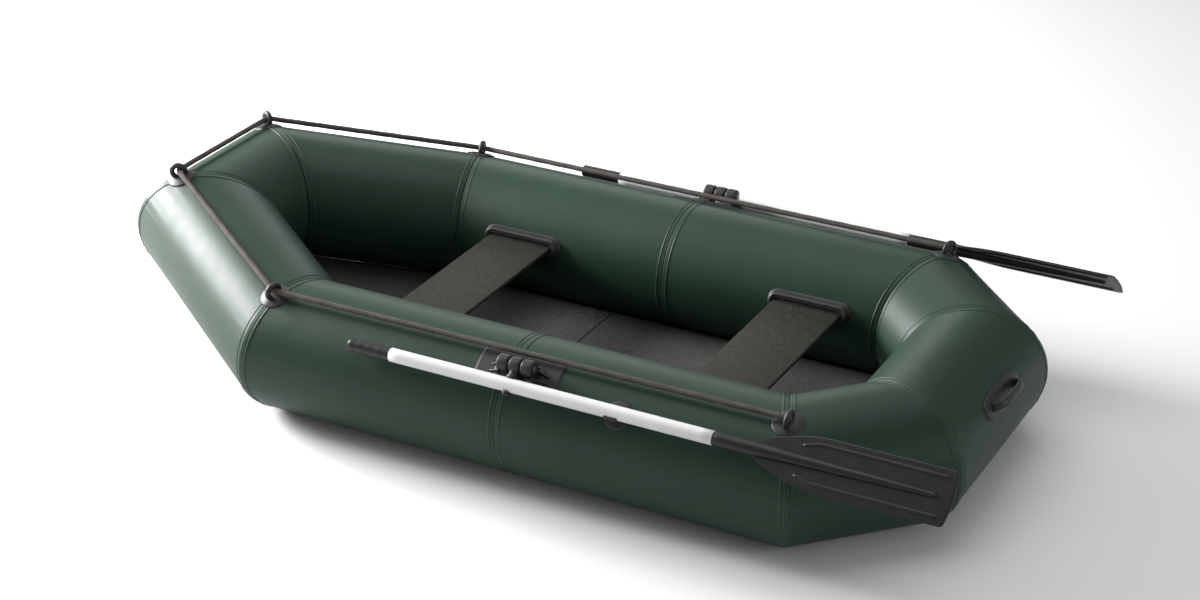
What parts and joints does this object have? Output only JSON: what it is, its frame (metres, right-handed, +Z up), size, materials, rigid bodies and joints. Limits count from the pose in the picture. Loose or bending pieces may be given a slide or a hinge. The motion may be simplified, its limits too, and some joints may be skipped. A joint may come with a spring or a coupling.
{
  "type": "inflatable rowing boat",
  "caption": "Open inflatable rowing boat with a ring of mitred air tubes, bench seats across the cockpit, pinned oars stowed along the sides, a lifeline and a stern carry handle.",
  "frame": {"origin": "centre of the whole object's footprint, on the ground", "axes": "+X towards the stern along the boat, +Y towards starboard, +Z up"},
  "size_m": [2.5237, 1.3222, 0.4866],
  "materials": {
    "hull_pvc": "satin coated fabric, welded and inflated",
    "bottom_pvc": "satin coated fabric",
    "bulkhead_pvc": "thin coated fabric inside the tubes",
    "floor_board": "dark textured plywood",
    "floor_joiner": "matt flexible strip",
    "seat_board": "dark grained plank",
    "rope": "twisted grey-brown cord",
    "oar_shaft": "white painted tube",
    "pin_metal": "plain pins",
    "oar_plastic": "black moulded plastic",
    "black_moulding": "black moulded rubber"
  },
  "bodies": {
    "hull": {"bottom_sheet": "bottom_pvc", "bow_port_tube": "hull_pvc", "bow_starboard_tube": "hull_pvc", "bow_tube": "hull_pvc", "bulkhead_port": "bulkhead_pvc", "bulkhead_starboard": "bulkhead_pvc", "carry_handle_base": "black_moulding", "carry_handle_grip": "black_moulding", "eyelet_aft_port": "black_moulding", "eyelet_aft_starboard": "black_moulding", "eyelet_bow_port": "black_moulding", "eyelet_bow_starboard": "black_moulding", "eyelet_fore_port": "black_moulding", "eyelet_fore_starboard": "black_moulding", "floor_joiner_aft": "floor_joiner", "floor_joiner_fore": "floor_joiner", "floor_panel_aft": "floor_board", "floor_panel_fore": "floor_board", "floor_panel_mid": "floor_board", "lifeline_rope": "rope", "oar_clip_port": "black_moulding", "oar_clip_starboard": "black_moulding", "oarlock_axle_port": "pin_metal", "oarlock_axle_starboard": "pin_metal", "oarlock_base_port": "black_moulding", "oarlock_base_starboard": "black_moulding", "oarlock_patch_port": "black_moulding", "oarlock_patch_starboard": "black_moulding", "port_aft_tube": "hull_pvc", "port_fore_tube": "hull_pvc", "seat_aft": "seat_board", "seat_fore": "seat_board", "seat_holder_aft_port": "black_moulding", "seat_holder_aft_starboard": "black_moulding", "seat_holder_fore_port": "black_moulding", "seat_holder_fore_starboard": "black_moulding", "starboard_aft_tube": "hull_pvc", "starboard_fore_tube": "hull_pvc", "stern_port_tube": "hull_pvc", "stern_starboard_tube": "hull_pvc", "stern_tube": "hull_pvc", "valve_body_aft": "black_moulding", "valve_body_fore": "black_moulding"},
    "oar_port_body": {"oar_blade_port": "oar_plastic", "oar_grip_port": "oar_plastic", "oar_pin_port": "black_moulding", "oar_shaft_port": "oar_shaft", "oarlock_arm_port": "black_moulding"},
    "oar_starboard_body": {"oar_blade_starboard": "oar_plastic", "oar_grip_starboard": "oar_plastic", "oar_pin_starboard": "black_moulding", "oar_shaft_starboard": "oar_shaft", "oarlock_arm_starboard": "black_moulding"},
    "valve_cap_aft_body": {"valve_cap_aft": "black_moulding"},
    "valve_cap_fore_body": {"valve_cap_fore": "black_moulding"},
    "valve_plunger_aft_body": {"valve_plunger_aft": "black_moulding"},
    "valve_plunger_fore_body": {"valve_plunger_fore": "black_moulding"}
  },
  "joints": [
    {"name": "oarlock_port_tilt", "type": "hinge", "parent": "hull", "child": "oar_port_body", "pos_m": [0.1265, -0.57197, 0.34946], "axis": [-1, 0, 0], "range_deg": [0, 120]},
    {"name": "oarlock_starboard_tilt", "type": "hinge", "parent": "hull", "child": "oar_starboard_body", "pos_m": [0.1265, 0.57197, 0.34946], "axis": [1, 0, 0], "range_deg": [0, 120]},
    {"name": "valve_cap_fore_hinge", "type": "hinge", "parent": "hull", "child": "valve_cap_fore_body", "pos_m": [-0.5005, -0.28002, 0.25617], "axis": [-1, 0, 0], "range_deg": [0, 110]},
    {"name": "valve_plunger_fore_push", "type": "slide", "parent": "hull", "child": "valve_plunger_fore_body", "axis": [0, -0.848, -0.5299], "range_m": [0, 0.004], "stiffness_N_per_m": 200},
    {"name": "valve_cap_aft_hinge", "type": "hinge", "parent": "hull", "child": "valve_cap_aft_body", "pos_m": [0.6795, -0.28002, 0.25617], "axis": [-1, 0, 0], "range_deg": [0, 110]},
    {"name": "valve_plunger_aft_push", "type": "slide", "parent": "hull", "child": "valve_plunger_aft_body", "axis": [0, -0.848, -0.5299], "range_m": [0, 0.004], "stiffness_N_per_m": 200}
  ]
}
